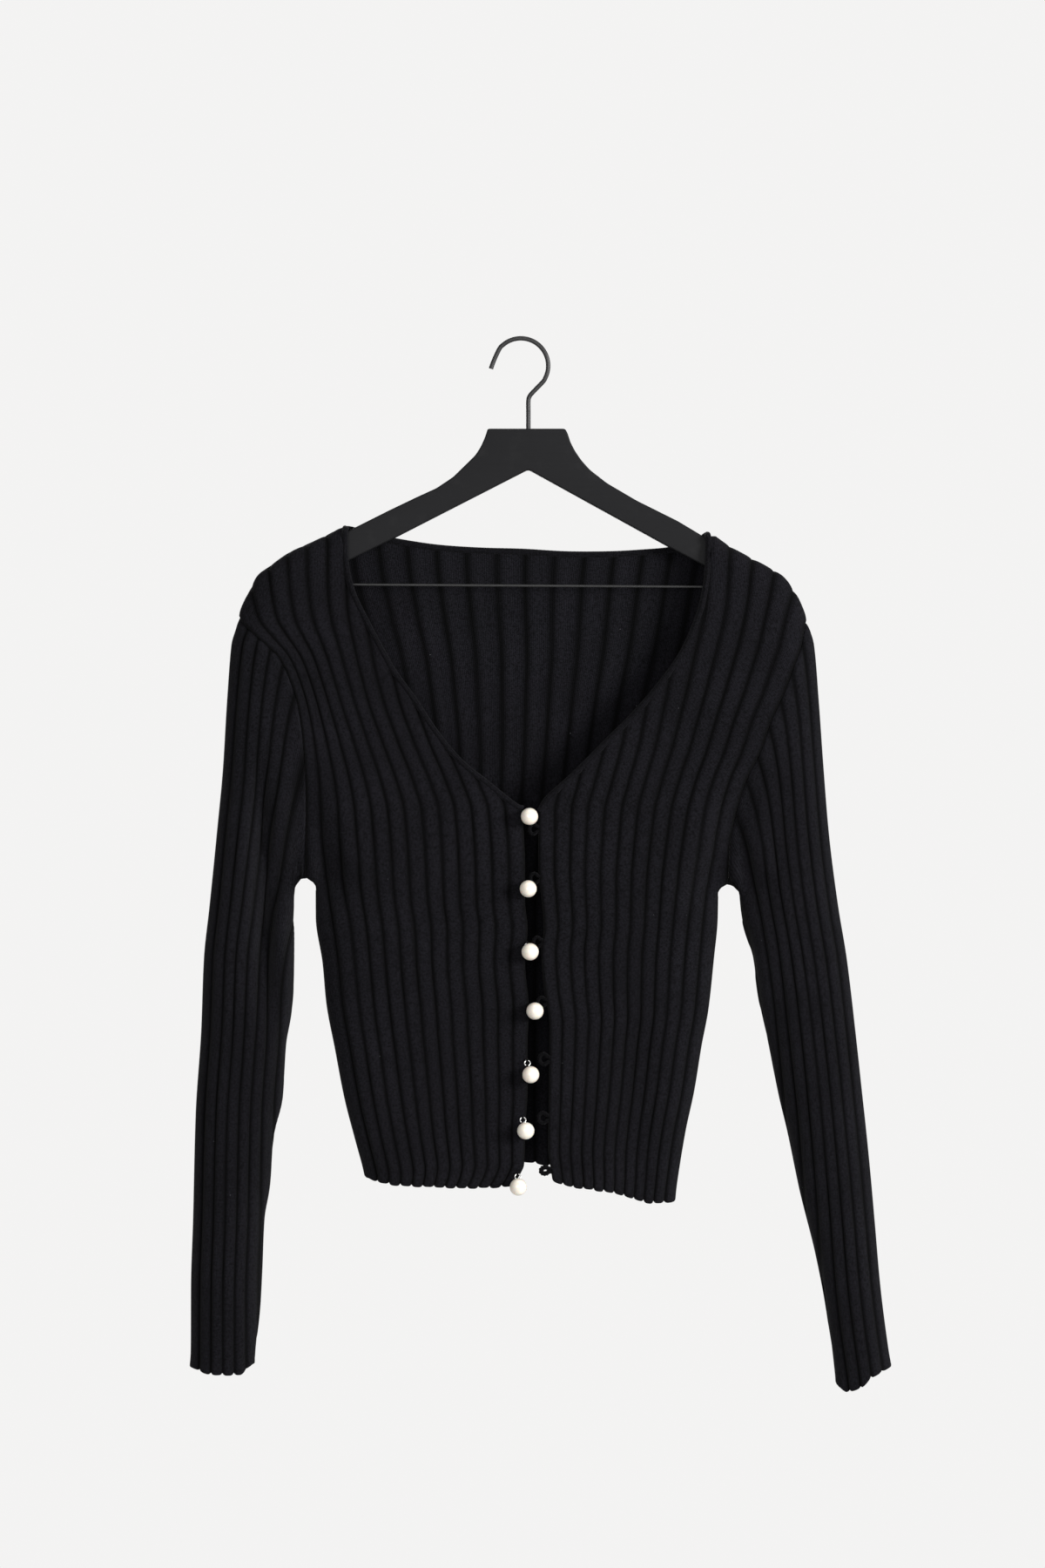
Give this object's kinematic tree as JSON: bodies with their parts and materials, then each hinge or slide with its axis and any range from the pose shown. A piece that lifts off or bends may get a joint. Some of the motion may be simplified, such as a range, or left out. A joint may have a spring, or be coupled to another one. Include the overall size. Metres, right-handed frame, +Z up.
{
  "type": "cardigan on a wooden hanger",
  "caption": "Cropped wide-rib V-neck cardigan with long sleeves and pearl buttons, worn open, hung on a flat wooden hanger with a wire hook.",
  "frame": {"origin": "the inside top of the hanger's hook, where a rail or peg carries it", "axes": "+Z up, +X towards the wearer's left sleeve, the fronts face -Y"},
  "size_m": [0.5628, 0.0546, 0.849],
  "materials": {
    "black_rib_knit": "matte wide rib knit, near black",
    "black_yarn": "matte twisted yarn, near black",
    "cream_pearl": "pearl lacquer, soft gloss",
    "silver_wire": "bright plated wire",
    "black_wood": "black satin lacquer",
    "black_steel": "dark plated steel"
  },
  "bodies": {
    "root": {"front_right": "black_rib_knit", "front_left": "black_rib_knit", "back": "black_rib_knit", "sleeve_right": "black_rib_knit", "sleeve_left": "black_rib_knit", "neck_binding_right": "black_rib_knit", "neck_binding_left": "black_rib_knit", "neck_binding_back": "black_rib_knit", "loop_1": "black_yarn", "loop_2": "black_yarn", "loop_3": "black_yarn", "loop_4": "black_yarn", "loop_5": "black_yarn", "loop_6": "black_yarn", "loop_7": "black_yarn", "pearl_1": "cream_pearl", "pearl_2": "cream_pearl", "pearl_3": "cream_pearl", "pearl_4": "cream_pearl", "pearl_5": "cream_pearl", "pearl_6": "cream_pearl", "pearl_7": "cream_pearl", "pearl_eye_1": "silver_wire", "pearl_eye_2": "silver_wire", "pearl_eye_3": "silver_wire", "pearl_eye_4": "silver_wire", "pearl_eye_5": "silver_wire", "pearl_eye_6": "silver_wire", "pearl_eye_7": "silver_wire", "hanger_body": "black_wood", "hook": "black_steel", "trouser_bar": "black_steel"}
  },
  "joints": []
}
